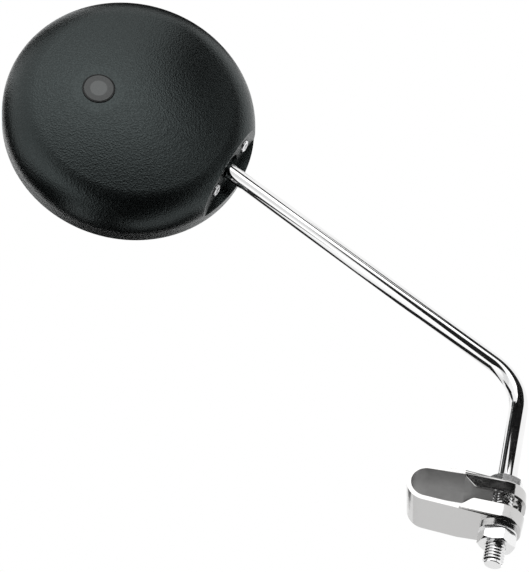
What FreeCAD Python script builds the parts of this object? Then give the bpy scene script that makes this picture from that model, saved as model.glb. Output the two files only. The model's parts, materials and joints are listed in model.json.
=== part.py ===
import FreeCAD, Part
import Sketcher
import math
import os

# Clamp-on motorcycle mirror in millimetres.
# The origin is the axis of the handlebar in the clamp's loop.
# Y runs along the handlebar, Z up along the threaded end of the stem, X from the loop to the stem.

DRIVING_SIZES = {
    # Bar clamp
    "strap_thickness": 1.8,
    "strap_width": 23.0,
    "loop_opening": 12.6,
    "leg_spread": 2.6,
    "leg_length": 14.0,
    "throat_length": 4.7,
    "bolt_offset": 29.8,
    "ear_reach": 9.3,
    "ear_corner_radius": 9.5,
    "ear_gap": 5.6,
    "wall_lean": 5.0,
    "fold_radius": 1.3,
    "bend_inside_radius": 2.4,
    "bolt_clearance": 0.3,
    # Stem
    "stem_diameter": 8.0,
    "stem_bend_radius": 23.5,
    "stem_bend_angle": 66.4,
    "stem_turn": 14.4,
    "corner_height": 64.8,
    "upper_stem_length": 182.9,
    "thread_tail": 8.0,
    "thread_chamfer": 0.8,
    "spigot_diameter": 5.0,
    "spigot_depth": 3.5,
    # Nuts and washers
    "nut_flats": 13.0,
    "lower_nut_height": 5.2,
    "upper_nut_height": 3.6,
    "lower_nut_turn": -11.0,
    "upper_nut_turn": 18.0,
    "nut_chamfer": 0.55,
    "thread_clearance": 0.05,
    "washer_diameter": 14.8,
    "washer_thickness": 1.5,
    "washer_split": 1.0,
    "washer_slant": 20.0,
    # Ball joint
    "ball_diameter": 14.0,
    "ball_clearance": 0.3,
    "seat_wall": 1.3,
    "seat_front": 4.2,
    "seat_rear": 5.5,
    "seat_end_gap": 0.2,
    "tilt_limit": 18.0,
    # Head
    "head_diameter": 126.6,
    "head_depth": 30.0,
    "dome_radius": 265.0,
    "shoulder_radius": 18.0,
    "side_draft": 0.7,
    "shell_wall": 2.5,
    "ball_inset": 15.3,
    "ball_height": 14.0,
    "socket_lean": 12.0,
    "land_depth": 8.0,
    "land_foot": 9.0,
    "boss_wall": 1.3,
    "head_yaw": 25.6,
    "head_pitch": 16.05,
    "head_roll": -6.3,
    # Glass and gasket
    "glass_diameter": 118.0,
    "glass_thickness": 3.0,
    "glass_set_back": 1.0,
    "gasket_wall": 0.9,
    "gasket_lip": 1.8,
    "gasket_clearance": 0.1,
    "ledge_width": 3.0,
    "ledge_height": 2.2,
    # Screws and clamp plate
    "screw_spacing": 29.0,
    "screw_diameter": 3.5,
    "screw_head_diameter": 6.4,
    "screw_head_height": 2.0,
    "screw_slot_length": 3.5,
    "screw_slot_width": 0.9,
    "screw_slot_depth": 1.1,
    "screw_recess": 1.0,
    "screw_tail": 2.0,
    "screw_clearance": 0.25,
    "post_wall": 2.0,
    "plate_thickness": 2.0,
    "plate_width": 15.0,
    "plate_hole_clearance": 0.6,
    # Badge
    "badge_diameter": 15.5,
    "badge_thickness": 1.1,
    "badge_sunk": 0.7,
    "badge_along": -16.6,
    "badge_across": -7.0,
    "badge_clearance": 0.15,
}

SHEET_NAME = "sizes"
CUT_MARGIN = 5.0
OVERRUN = 1.0
NUT_CHAMFER_ANGLE = 30.0
NEAR = 1e-4


class Size:
    """A number together with the expression that gives it from the spreadsheet."""

    def __init__(self, value, text):
        self.value = value
        self.text = text

    def __add__(self, other):
        other = as_size(other)
        return Size(self.value + other.value, f"({self.text} + {other.text})")

    def __radd__(self, other):
        return as_size(other) + self

    def __sub__(self, other):
        other = as_size(other)
        return Size(self.value - other.value, f"({self.text} - {other.text})")

    def __rsub__(self, other):
        return as_size(other) - self

    def __mul__(self, other):
        other = as_size(other)
        return Size(self.value * other.value, f"({self.text} * {other.text})")

    def __rmul__(self, other):
        return as_size(other) * self

    def __truediv__(self, other):
        other = as_size(other)
        return Size(self.value / other.value, f"({self.text} / {other.text})")

    def __neg__(self):
        return 0 - self


def as_size(number):
    if isinstance(number, Size):
        return number
    return Size(float(number), f"({float(number)})")


def size(alias):
    return Size(DRIVING_SIZES[alias], f"{SHEET_NAME}.{alias}")


def square_root(number):
    return Size(math.sqrt(number.value), f"sqrt({number.text})")


def tangent(degrees):
    return Size(math.tan(math.radians(degrees.value)), f"tan({degrees.text} * 1 deg)")


def cosine(degrees):
    return Size(math.cos(math.radians(degrees.value)), f"cos({degrees.text} * 1 deg)")


def sine(degrees):
    return Size(math.sin(math.radians(degrees.value)), f"sin({degrees.text} * 1 deg)")


doc = FreeCAD.newDocument("clamp_on_mirror")
sheet = doc.addObject("Spreadsheet::Sheet", SHEET_NAME)
for row, (alias, number) in enumerate(DRIVING_SIZES.items(), start=1):
    sheet.set(f"A{row}", alias)
    sheet.set(f"B{row}", str(number))
    sheet.setAlias(f"B{row}", alias)
doc.recompute()

X_AXIS = FreeCAD.Vector(1, 0, 0)
Y_AXIS = FreeCAD.Vector(0, 1, 0)
Z_AXIS = FreeCAD.Vector(0, 0, 1)


def bind(item, name, number):
    """Set a property from the spreadsheet."""
    item.setExpression(name, as_size(number).text)


def move(x=0.0, y=0.0, z=0.0, axis=Z_AXIS, degrees=0.0):
    """A placement from plain numbers or sizes."""
    place = FreeCAD.Vector(as_size(x).value, as_size(y).value, as_size(z).value)
    return FreeCAD.Placement(place, FreeCAD.Rotation(axis, as_size(degrees).value))


def cylinder(name, radius, low, high, placement=None, x=0.0, y=0.0):
    """A round bar along the local Z axis from low to high."""
    item = doc.addObject("Part::Cylinder", name)
    bind(item, "Radius", radius)
    bind(item, "Height", as_size(high) - low)
    item.Placement = (placement or FreeCAD.Placement()).multiply(move(x, y, low))
    return item


def cone(name, low_radius, high_radius, low, high, placement=None):
    item = doc.addObject("Part::Cone", name)
    bind(item, "Radius1", low_radius)
    bind(item, "Radius2", high_radius)
    bind(item, "Height", as_size(high) - low)
    item.Placement = (placement or FreeCAD.Placement()).multiply(move(0, 0, low))
    return item


def ball(name, radius, placement=None, z=0.0):
    """A sphere with its poles and seam off the local Z axis, so a cap on that axis is one clean face."""
    item = doc.addObject("Part::Sphere", name)
    bind(item, "Radius", radius)
    item.Placement = (placement or FreeCAD.Placement()).multiply(move(0, 0, z, X_AXIS, 90))
    return item


def block(name, width, depth, height, low, placement=None, x=0.0, y=None):
    """A block of the given width (X), depth (Y) and height (Z), centred unless y gives its low side."""
    item = doc.addObject("Part::Box", name)
    bind(item, "Length", width)
    bind(item, "Width", depth)
    bind(item, "Height", height)
    low_x = as_size(x) - as_size(width) / 2
    low_y = as_size(depth) / -2 if y is None else y
    item.Placement = (placement or FreeCAD.Placement()).multiply(move(low_x, low_y, low))
    return item


def cut(name, base, *tools):
    """The base with each tool taken away."""
    result = base
    for number, tool in enumerate(tools, start=1):
        last = number == len(tools)
        step = doc.addObject("Part::Cut", name if last else f"{name}_step_{number}")
        step.Base = result
        step.Tool = tool
        result = step
    return result


def fuse(name, *items):
    result = doc.addObject("Part::MultiFuse", name)
    result.Shapes = list(items)
    result.Refine = True
    return result


def common(name, *items):
    result = doc.addObject("Part::MultiCommon", name)
    result.Shapes = list(items)
    return result


def plane_of(body, role):
    return next(item for item in body.Origin.OriginFeatures if item.Role == role)


def new_sketch(body, name, role):
    sketch = body.newObject("Sketcher::SketchObject", name)
    sketch.AttachmentSupport = [(plane_of(body, role), "")]
    sketch.MapMode = "FlatFace"
    return sketch


def pin_one_way(sketch, geometry, end, number, kind):
    """Tie one coordinate of a sketch point to a size, measured from the sketch's origin."""
    number = as_size(number)
    if number.value == 0:
        # A sketch's own axes are its geometry -1, the horizontal one, and -2, the vertical one.
        axis = -2 if kind == "DistanceX" else -1
        sketch.addConstraint(Sketcher.Constraint("PointOnObject", geometry, end, axis))
        return
    # The start point of geometry -1 is the sketch's origin.
    ends = (-1, 1, geometry, end) if number.value > 0 else (geometry, end, -1, 1)
    length = number if number.value > 0 else -number
    index = sketch.addConstraint(Sketcher.Constraint(kind, *ends, length.value))
    sketch.setExpression(f"Constraints[{index}]", length.text)


def pin_point(sketch, geometry, end, place):
    """Tie a sketch point to a place given by two sizes."""
    pin_one_way(sketch, geometry, end, place[0], "DistanceX")
    pin_one_way(sketch, geometry, end, place[1], "DistanceY")


def add_arc(sketch, start, middle, centre, finish):
    """Add an arc, which a sketch keeps anticlockwise, and say whether it runs from start to finish."""
    forward = (start - centre).cross(middle - centre).z > 0
    first, last = (start, finish) if forward else (finish, start)
    first_angle = math.atan2(first.y - centre.y, first.x - centre.x)
    last_angle = math.atan2(last.y - centre.y, last.x - centre.x)
    if last_angle < first_angle:
        last_angle += 2 * math.pi
    circle = Part.Circle(centre, Z_AXIS, start.distanceToPoint(centre))
    sketch.addGeometry(Part.ArcOfCircle(circle, first_angle, last_angle), False)
    return forward


def draw_outline(sketch, points, arcs=None, closed=True):
    """Draw lines between points; arcs gives a middle point and the centre for some of them."""
    arcs = arcs or {}
    count = len(points)
    spots = [flat_vector(point) for point in points]
    for index in range(count if closed else count - 1):
        after = (index + 1) % count
        if index not in arcs:
            sketch.addGeometry(Part.LineSegment(spots[index], spots[after]), False)
            pin_point(sketch, index, 1, points[index])
            pin_point(sketch, index, 2, points[after])
            continue
        middle, centre = arcs[index]
        forward = add_arc(sketch, spots[index], flat_vector(middle), flat_vector(centre), spots[after])
        pin_point(sketch, index, 3, centre)
        pin_point(sketch, index, 1 if forward else 2, points[index])
        spoke = spots[after] - flat_vector(centre)
        last_end = 2 if forward else 1
        if abs(spoke.x) > abs(spoke.y):
            pin_one_way(sketch, index, last_end, points[after][1], "DistanceY")
        else:
            pin_one_way(sketch, index, last_end, points[after][0], "DistanceX")


def flat_vector(place):
    return FreeCAD.Vector(as_size(place[0]).value, as_size(place[1]).value, 0)


def pad_between(body, sketch, name, length):
    pad = body.newObject("PartDesign::Pad", name)
    pad.Profile = sketch
    pad.Midplane = True
    bind(pad, "Length", length)
    sketch.Visibility = False
    return pad


def pocket_between(body, sketch, name, length):
    """Cut a sketch's outline to both sides of its plane, and make sure that it cuts."""
    doc.recompute()
    before = body.Shape.Volume
    pocket = body.newObject("PartDesign::Pocket", name)
    pocket.Profile = sketch
    pocket.Midplane = True
    bind(pocket, "Length", length)
    doc.recompute()
    if body.Shape.Volume > before - NEAR:
        raise RuntimeError(f"{name} cuts nothing")
    return pocket


# Bar clamp: one pressed strap, looped, with the edges of its ears turned in
def leg_inside(place):
    """How high a leg's inner face is over the loop's middle, at a place along X."""
    spread = size("leg_spread")
    return size("loop_opening") / 2 / cosine(spread) + place * tangent(spread)


def ear_face():
    """How high an ear's outer face is over the loop's middle."""
    return leg_inside(size("leg_length")) + size("strap_thickness") / cosine(size("leg_spread"))


def make_bar_clamp():
    body = doc.addObject("PartDesign::Body", "bar_clamp")
    add_ears(body)
    add_loop(body)
    thickness = size("strap_thickness")
    leg = size("leg_length")
    tray_half = size("strap_width") / 2 - thickness
    tray = new_sketch(body, "clamp_tray", "XY_Plane")
    tray_tip = size("bolt_offset") + size("ear_reach") - thickness
    tray_points, tray_arcs = rounded_end(tray_tip, tray_half, size("ear_corner_radius") - thickness)
    draw_outline(tray, tray_points + [(leg, -tray_half), (leg, tray_half)], tray_arcs)
    pocket_between(body, tray, "clamp_tray_cut", leg_inside(leg) * 2)
    hole = new_sketch(body, "clamp_bolt_hole", "XY_Plane")
    draw_circle(hole, size("bolt_offset"), 0, size("stem_diameter") / 2 + size("bolt_clearance"))
    pocket_between(body, hole, "clamp_hole_cut", ear_face() * 2 + CUT_MARGIN)
    round_edges(body, "clamp_lip_bends", size("bend_inside_radius"), is_lip_edge)
    return body


def add_ears(body):
    """The two ears as blocks whose walls lean in from the gap between them, with rounded folds."""
    half_width = size("strap_width") / 2
    leg = size("leg_length")
    throat = leg + size("throat_length")
    tip = size("bolt_offset") + size("ear_reach")
    lip = size("ear_gap") / 2
    plan = new_sketch(body, "ear_plan", "XY_Plane")
    points, arcs = rounded_end(tip, half_width, size("ear_corner_radius"))
    draw_outline(plan, points + [(leg, -half_width), (leg, half_width)], arcs)
    pad_between(body, plan, "ear_pad", ear_face() * 2)
    gap = new_sketch(body, "ear_gap_side", "XZ_Plane")
    far = tip + CUT_MARGIN
    gap_points = [
        (leg, -leg_inside(leg)), (throat, -lip), (far, -lip),
        (far, lip), (throat, lip), (leg, leg_inside(leg)),
    ]
    draw_outline(gap, gap_points)
    pocket_between(body, gap, "ear_gap_cut", half_width * 2 + CUT_MARGIN)
    lean_walls(body, "upper_walls", 1)
    lean_walls(body, "lower_walls", -1)
    round_edges(body, "ear_folds", size("fold_radius"), is_fold_edge)


def lean_walls(body, name, sign):
    """Lean the outer walls of one ear inwards, away from the middle plane."""
    base = body.Tip
    names = [
        f"Face{index}" for index, face in enumerate(base.Shape.Faces, start=1)
        if is_outer_wall(face) and face.CenterOfMass.z * sign > 0
    ]
    draft = body.newObject("PartDesign::Draft", name)
    draft.Base = (base, names)
    draft.NeutralPlane = (plane_of(body, "XY_Plane"), [""])
    draft.Reversed = sign < 0
    bind(draft, "Angle", size("wall_lean"))
    doc.recompute()


def is_outer_wall(face):
    """Whether a face is an upright one, other than the flat where the legs join the ears."""
    u_low, u_high, v_low, v_high = face.ParameterRange
    normal = face.normalAt((u_low + u_high) / 2, (v_low + v_high) / 2)
    return abs(normal.z) < NEAR and face.BoundBox.XMax > size("leg_length").value + NEAR


def add_loop(body):
    """The loop and its two legs."""
    inside = size("loop_opening") / 2
    outside = inside + size("strap_thickness")
    spread = size("leg_spread")
    leg = size("leg_length")
    outer_x = -outside * sine(spread)
    outer_z = outside * cosine(spread)
    inner_x = -inside * sine(spread)
    inner_z = inside * cosine(spread)
    side = new_sketch(body, "clamp_side", "XZ_Plane")
    points = [
        (outer_x, -outer_z), (leg, -ear_face()), (leg, -leg_inside(leg)), (inner_x, -inner_z),
        (inner_x, inner_z), (leg, leg_inside(leg)), (leg, ear_face()), (outer_x, outer_z),
    ]
    draw_outline(side, points, {3: ((-inside, 0), (0, 0)), 7: ((-outside, 0), (0, 0))})
    pad_between(body, side, "clamp_pad", size("strap_width"))


def rounded_end(tip, half_width, corner):
    """The plan outline of an ear's end, with its two rounded corners."""
    start = tip - corner
    side = half_width - corner
    reach = corner * math.sqrt(0.5)
    points = [(start, half_width), (tip, side), (tip, -side), (start, -half_width)]
    arcs = {
        0: ((start + reach, side + reach), (start, side)),
        2: ((start + reach, -side - reach), (start, -side)),
    }
    return points, arcs


def draw_circle(sketch, x, y, radius):
    centre = FreeCAD.Vector(as_size(x).value, as_size(y).value, 0)
    sketch.addGeometry(Part.Circle(centre, Z_AXIS, as_size(radius).value), False)
    pin_point(sketch, 0, 3, (x, y))
    number = sketch.addConstraint(Sketcher.Constraint("Radius", 0, as_size(radius).value))
    sketch.setExpression(f"Constraints[{number}]", as_size(radius).text)


def round_edges(body, name, radius, chosen):
    """Fillet the body's edges that the given test picks."""
    doc.recompute()
    base = body.Tip
    names = [f"Edge{index}" for index, edge in enumerate(base.Shape.Edges, start=1) if chosen(edge)]
    if not names:
        raise RuntimeError(f"{name} finds no edge")
    fillet = body.newObject("PartDesign::Fillet", name)
    fillet.Base = (base, names)
    bind(fillet, "Radius", radius)
    doc.recompute()
    return fillet


def is_lip_edge(edge):
    """The edges across an ear's wall where it reaches its full depth."""
    ends = [vertex.Point for vertex in edge.Vertexes]
    if len(ends) != 2 or abs(ends[0].x - ends[1].x) > NEAR or abs(ends[0].z - ends[1].z) > NEAR:
        return False
    throat = size("leg_length").value + size("throat_length").value
    lip = size("ear_gap").value / 2
    return abs(ends[0].x - throat) < NEAR and abs(abs(ends[0].z) - lip) < NEAR


def is_fold_edge(edge):
    """The outline of an ear's outer face, from the leg round the end."""
    middle = edge.valueAt(sum(edge.ParameterRange) / 2)
    flat = edge.BoundBox.ZLength < NEAR and abs(abs(middle.z) - ear_face().value) < NEAR
    return flat and middle.x > size("leg_length").value + NEAR


# Stem: one bent rod with a spigot for the ball at its upper end
def stem_placement():
    return move(size("bolt_offset"), 0, 0, Z_AXIS, size("stem_turn"))


def upper_direction():
    """The direction of the stem's upper run, from the bend towards the ball."""
    bend = math.radians(size("stem_bend_angle").value)
    direction = FreeCAD.Vector(-math.sin(bend), 0, math.cos(bend))
    return stem_placement().Rotation.multVec(direction)


def ball_centre():
    corner = FreeCAD.Vector(size("bolt_offset").value, 0, size("corner_height").value)
    return corner + upper_direction() * size("upper_stem_length").value


def ball_on_stem():
    """A frame at the ball's centre whose Z axis points away from the stem."""
    return FreeCAD.Placement(ball_centre(), FreeCAD.Rotation(Z_AXIS, upper_direction()))


def stem_shoulder():
    """How far from the ball's centre the full rod ends, where the ball is as wide as the rod."""
    radius = size("ball_diameter") / 2
    rod = size("stem_diameter") / 2
    return square_root(radius * radius - rod * rod)


def clamp_stack():
    """The depth of the lower nut's free face under the clamp's middle."""
    return ear_face() + size("washer_thickness") + size("lower_nut_height")


def make_stem():
    body = doc.addObject("PartDesign::Body", "stem_rod")
    bend = size("stem_bend_angle")
    radius = size("stem_bend_radius")
    run = radius * tangent(bend / 2)
    corner = size("corner_height")
    low = -(clamp_stack() + size("thread_tail"))
    reach = size("upper_stem_length") - stem_shoulder()
    path = new_sketch(body, "stem_path", "XZ_Plane")
    points = [
        (0, low),
        (0, corner - run),
        (-run * sine(bend), corner + run * cosine(bend)),
        (-reach * sine(bend), corner + reach * cosine(bend)),
    ]
    half = bend / 2
    middle = (-(radius - radius * cosine(half)), corner - run + radius * sine(half))
    draw_outline(path, points, {1: (middle, (-radius, corner - run))}, closed=False)
    ring = new_sketch(body, "stem_section", "XY_Plane")
    ring.AttachmentOffset = move(0, 0, low)
    bind(ring, "AttachmentOffset.Base.z", low)
    draw_circle(ring, 0, 0, size("stem_diameter") / 2)
    doc.recompute()
    pipe = body.newObject("PartDesign::AdditivePipe", "stem_pipe")
    pipe.Profile = ring
    pipe.Spine = (path, ["Edge1", "Edge2", "Edge3"])
    doc.recompute()
    ends = [
        f"Edge{index}" for index, edge in enumerate(pipe.Shape.Edges, start=1)
        if edge.BoundBox.ZLength < NEAR and abs(edge.BoundBox.ZMin - low.value) < NEAR
    ]
    chamfer = body.newObject("PartDesign::Chamfer", "stem_end_chamfer")
    chamfer.Base = (pipe, ends)
    bind(chamfer, "Size", size("thread_chamfer"))
    body.Placement = stem_placement()
    shoulder = stem_shoulder()
    spigot_low = -shoulder - OVERRUN
    spigot_radius = size("spigot_diameter") / 2
    spigot = cylinder("stem_spigot", spigot_radius, spigot_low, size("spigot_depth"), ball_on_stem())
    return fuse("stem", body, spigot)


def make_nut(name, low, height, turn):
    """A plain hexagon nut, chamfered at both ends, on the stem's threaded end."""
    corner_radius = size("nut_flats") / square_root(as_size(3))
    place = move(size("bolt_offset"), 0, low)
    prism = doc.addObject("Part::Prism", f"{name}_hexagon")
    prism.Polygon = 6
    bind(prism, "Circumradius", corner_radius)
    bind(prism, "Height", height)
    prism.Placement = place.multiply(move(degrees=turn))
    edge = size("nut_chamfer")
    slope = tangent(as_size(NUT_CHAMFER_ANGLE))
    narrow = corner_radius - edge / slope
    lower = cone(f"{name}_lower_chamfer", narrow, narrow + (height / slope), 0, height, place)
    upper = cone(f"{name}_upper_chamfer", narrow + (height / slope), narrow, 0, height, place)
    blank = common(f"{name}_blank", prism, lower, upper)
    bore_radius = size("stem_diameter") / 2 + size("thread_clearance")
    bore = cylinder(f"{name}_bore", bore_radius, -OVERRUN, height + OVERRUN, place)
    return cut(name, blank, bore)


def make_washer(name, low):
    """A split spring washer, its slanted slot towards +Y."""
    place = move(size("bolt_offset"), 0, low)
    radius = size("washer_diameter") / 2
    thickness = size("washer_thickness")
    disc = cylinder(f"{name}_disc", radius, 0, thickness, place)
    bore_radius = size("stem_diameter") / 2 + size("bolt_clearance")
    bore = cylinder(f"{name}_bore", bore_radius, -OVERRUN, thickness + OVERRUN, place)
    slot_place = place.multiply(move(0, 0, thickness / 2, Y_AXIS, size("washer_slant")))
    slot_height = thickness * 3
    slot_low = slot_height / -2
    slot = block(f"{name}_slot", size("washer_split"), radius * 2, slot_height, slot_low, slot_place, 0, 0)
    return cut(name, disc, bore, slot)


def make_stem_ball():
    """A round ball with a flat for the rod's shoulder and a blind bore for its spigot."""
    radius = size("ball_diameter") / 2
    frame = ball_on_stem()
    sphere = ball("ball_sphere", radius, frame)
    shoulder = stem_shoulder()
    flat = block("ball_flat", radius * 2, radius * 2, radius, -shoulder - radius, frame)
    bore_radius = size("spigot_diameter") / 2 + size("thread_clearance")
    bore = cylinder("ball_bore", bore_radius, -radius, size("spigot_depth") + size("seat_end_gap"), frame)
    return cut("stem_ball", sphere, flat, bore)


# Head: a frame at the middle of the rim, Z out of the back, X towards the ball
def head_rotation():
    yaw = FreeCAD.Rotation(Z_AXIS, size("head_yaw").value)
    pitch = FreeCAD.Rotation(X_AXIS, 90.0 + size("head_pitch").value)
    roll = FreeCAD.Rotation(Z_AXIS, size("head_roll").value)
    return yaw.multiply(pitch).multiply(roll)


def head_placement():
    rotation = head_rotation()
    reach = size("head_diameter") / 2 - size("ball_inset")
    ball_in_head = FreeCAD.Vector(reach.value, 0, size("ball_height").value)
    return FreeCAD.Placement(ball_centre() - rotation.multVec(ball_in_head), rotation)


def socket_placement():
    """A frame at the ball's centre, Z out through the land, X across it, Y towards the head's back."""
    lean = math.radians(size("socket_lean").value)
    outward = head_rotation().multVec(FreeCAD.Vector(math.cos(lean), 0, math.sin(lean)))
    across = head_rotation().multVec(Y_AXIS)
    upward = outward.cross(across)
    return FreeCAD.Placement(ball_centre(), FreeCAD.Rotation(across, upward, outward, "ZXY"))


def domed_solid(name, inset):
    """The head's outer form, or a smaller copy of it set in by a wall all round."""
    place = head_placement()
    radius = size("head_diameter") / 2 - inset
    depth = size("head_depth") - inset
    side = cone(f"{name}_side", radius, radius - size("side_draft"), 0, depth + CUT_MARGIN, place)
    curve = ball(f"{name}_dome", size("dome_radius") - inset, place, size("head_depth") - size("dome_radius"))
    blank = common(f"{name}_blank", side, curve)
    doc.recompute()
    edges = [index for index, edge in enumerate(blank.Shape.Edges, start=1) if is_dome_edge(edge, place)]
    if len(edges) != 1:
        raise RuntimeError(f"{name} has {len(edges)} dome edges")
    rounded = doc.addObject("Part::Fillet", f"{name}_rounded")
    rounded.Base = blank
    reach = (size("shoulder_radius") - inset).value
    rounded.Edges = [(index, reach, reach) for index in edges]
    return rounded


def is_dome_edge(edge, place):
    """Whether an edge is the circle where the side meets the dome."""
    if edge.Degenerated or not edge.isClosed():
        return False
    local = place.inverse().multVec(edge.Vertexes[0].Point)
    return local.z > size("head_depth").value / 2


def make_head_shell():
    place = head_placement()
    socket = socket_placement()
    wall = size("shell_wall")
    outer = domed_solid("shell_outer", as_size(0))
    cavity = domed_solid("shell_cavity", wall)
    reach = size("head_diameter")
    land = size("land_depth")
    land_inside = size("seat_front") + size("seat_end_gap")
    foot = size("land_foot")
    land_cut = block("land_cut", reach, reach, reach, land, socket, 0, -foot)
    outer_form = cut("shell_form", outer, land_cut)
    behind_land = block("behind_land", reach, reach, reach, land_inside, socket)
    hollow = cut("shell_hollow", cavity, behind_land)
    walls = cut("shell_walls", outer_form, hollow)
    seat_radius = size("ball_diameter") / 2 + size("ball_clearance") + size("seat_wall")
    boss_bore = seat_radius + size("ball_clearance")
    post_end = -(size("seat_rear") + size("seat_end_gap"))
    boss = cylinder("socket_boss", boss_bore + size("boss_wall"), post_end, land_inside, socket)
    half_spacing = size("screw_spacing") / 2
    post_radius = size("screw_diameter") / 2 + size("screw_clearance") + size("post_wall")
    posts = [
        cylinder(f"screw_post_{side}", post_radius, post_end, land_inside, socket, x=half_spacing * sign)
        for side, sign in (("left", -1), ("right", 1))
    ]
    solid = fuse("shell_with_socket", walls, make_glass_ledge(), boss, *posts)
    trimmed = common("shell_trimmed", solid, outer_form)
    seat_bore = cylinder("seat_bore", boss_bore, post_end - OVERRUN, land_inside, socket)
    limit = size("tilt_limit")
    rod = size("stem_diameter") / 2 / cosine(limit) + size("ball_clearance")
    beyond = land + CUT_MARGIN
    within = land_inside - OVERRUN
    narrow_end = rod + within * tangent(limit)
    wide_end = rod + beyond * tangent(limit)
    stem_hole = cone("stem_hole", narrow_end, wide_end, within, beyond, socket)
    tools = [seat_bore, stem_hole]
    hole_radius = size("screw_diameter") / 2 + size("screw_clearance")
    recess_radius = size("screw_head_diameter") / 2 + size("screw_clearance") * 2
    recess_floor = land - size("screw_recess")
    for side, sign in (("left", -1), ("right", 1)):
        x = half_spacing * sign
        tools.append(cylinder(f"screw_hole_{side}", hole_radius, post_end - OVERRUN, land, socket, x=x))
        tools.append(cylinder(f"screw_recess_{side}", recess_radius, recess_floor, beyond, socket, x=x))
    pocket_radius = gasket_radius() + size("gasket_clearance")
    pocket_back = gasket_back() + size("gasket_clearance")
    tools.append(cylinder("glass_pocket", pocket_radius, -OVERRUN, pocket_back, place))
    badge_radius = size("badge_diameter") / 2 + size("badge_clearance")
    tools.append(cylinder("badge_recess", badge_radius, -size("badge_sunk"), CUT_MARGIN, badge_placement()))
    return cut("head_shell", trimmed, *tools)


def make_glass_ledge():
    """A ring inside the rim that the gasket rests against."""
    place = head_placement()
    outside = size("head_diameter") / 2 - size("shell_wall") / 2
    inside = gasket_radius() - size("ledge_width")
    high = gasket_back() + size("gasket_clearance") + size("ledge_height")
    ring = cylinder("ledge_ring", outside, 0, high, place)
    opening = cylinder("ledge_opening", inside, -OVERRUN, high + OVERRUN, place)
    return cut("glass_ledge", ring, opening)


def gasket_radius():
    return size("glass_diameter") / 2 + size("gasket_clearance") + size("gasket_wall")


def gasket_back():
    glass_back = size("glass_set_back") + size("glass_thickness")
    return glass_back + size("gasket_clearance") + size("gasket_wall") / 2


def make_mirror_glass():
    low = size("glass_set_back")
    high = low + size("glass_thickness")
    return cylinder("mirror_glass", size("glass_diameter") / 2, low, high, head_placement())


def make_glass_gasket():
    """A rubber ring of channel section that holds the glass by its edge."""
    place = head_placement()
    gap = size("gasket_clearance")
    glass = size("glass_diameter") / 2
    low = size("glass_set_back")
    high = low + size("glass_thickness")
    ring = cylinder("gasket_ring", gasket_radius(), low - size("gasket_wall"), gasket_back(), place)
    opening = cylinder("gasket_opening", glass - size("gasket_lip"), -CUT_MARGIN, high + CUT_MARGIN, place)
    groove = cylinder("gasket_groove", glass + gap, low - gap, high + gap, place)
    return cut("glass_gasket", ring, opening, groove)


def make_seat_half(name, low, high):
    """Half of the plastic seat that the ball turns in."""
    socket = socket_placement()
    inside = size("ball_diameter") / 2 + size("ball_clearance")
    ring = cylinder(f"{name}_ring", inside + size("seat_wall"), low, high, socket)
    hollow = ball(f"{name}_hollow", inside, socket)
    return cut(name, ring, hollow)


def make_socket_plate():
    """The plate inside the head that the two screws draw against the seat."""
    socket = socket_placement()
    high = -(size("seat_rear") + size("seat_end_gap"))
    low = high - size("plate_thickness")
    half_spacing = size("screw_spacing") / 2
    half_width = size("plate_width") / 2
    bar = block("plate_bar", half_spacing * 2, half_width * 2, size("plate_thickness"), low, socket)
    ends = [
        cylinder(f"plate_end_{side}", half_width, low, high, socket, x=half_spacing * sign)
        for side, sign in (("left", -1), ("right", 1))
    ]
    blank = fuse("plate_blank", bar, *ends)
    sphere = size("ball_diameter") / 2 + size("ball_clearance")
    seat_mouth = square_root(sphere * sphere - size("seat_rear") * size("seat_rear"))
    opening = seat_mouth + size("plate_hole_clearance")
    below = low - OVERRUN
    above = high + OVERRUN
    tools = [cylinder("plate_opening", opening, below, above, socket)]
    tap = size("screw_diameter") / 2 + size("thread_clearance")
    for side, sign in (("left", -1), ("right", 1)):
        tools.append(cylinder(f"plate_tap_{side}", tap, below, above, socket, x=half_spacing * sign))
    return cut("socket_plate", blank, *tools)


def make_socket_screws():
    """Two pan-head screws with cross recesses, one on each side of the stem."""
    socket = socket_placement()
    seat = size("land_depth") - size("screw_recess")
    tail = -(size("seat_rear") + size("seat_end_gap") + size("plate_thickness") + size("screw_tail"))
    half_spacing = size("screw_spacing") / 2
    head_radius = size("screw_head_diameter") / 2
    head_height = size("screw_head_height")
    slot_length = size("screw_slot_length")
    slot_width = size("screw_slot_width")
    slot_depth = size("screw_slot_depth")
    screws = []
    for side, sign in (("left", -1), ("right", 1)):
        x = half_spacing * sign
        shank_top = seat + head_height / 2
        shank = cylinder(f"screw_shank_{side}", size("screw_diameter") / 2, tail, shank_top, socket, x=x)
        crown = cylinder(f"screw_crown_{side}", head_radius, seat, seat + head_height, socket, x=x)
        blank = fuse(f"screw_blank_{side}", shank, crown)
        floor = seat + head_height - slot_depth
        long_slot = block(f"screw_slot_long_{side}", slot_length, slot_width, head_height, floor, socket, x)
        cross_slot = block(f"screw_slot_cross_{side}", slot_width, slot_length, head_height, floor, socket, x)
        screws.append(cut(f"screw_{side}", blank, long_slot, cross_slot))
    pair = doc.addObject("Part::Compound", "socket_screws")
    pair.Links = screws
    return pair


def badge_placement():
    """A frame on the dome at the badge's middle, Z out along the dome's own normal."""
    along = size("badge_along").value
    across = size("badge_across").value
    dome = size("dome_radius").value
    centre_height = size("head_depth").value - dome
    rise = math.sqrt(dome * dome - along * along - across * across)
    normal = FreeCAD.Vector(along, across, rise)
    spot = FreeCAD.Vector(along, across, centre_height + rise)
    local = FreeCAD.Placement(spot, FreeCAD.Rotation(Z_AXIS, normal))
    return head_placement().multiply(local)


def make_badge():
    low = -size("badge_sunk")
    high = low + size("badge_thickness")
    return cylinder("badge_disc", size("badge_diameter") / 2, low, high, badge_placement())


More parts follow.
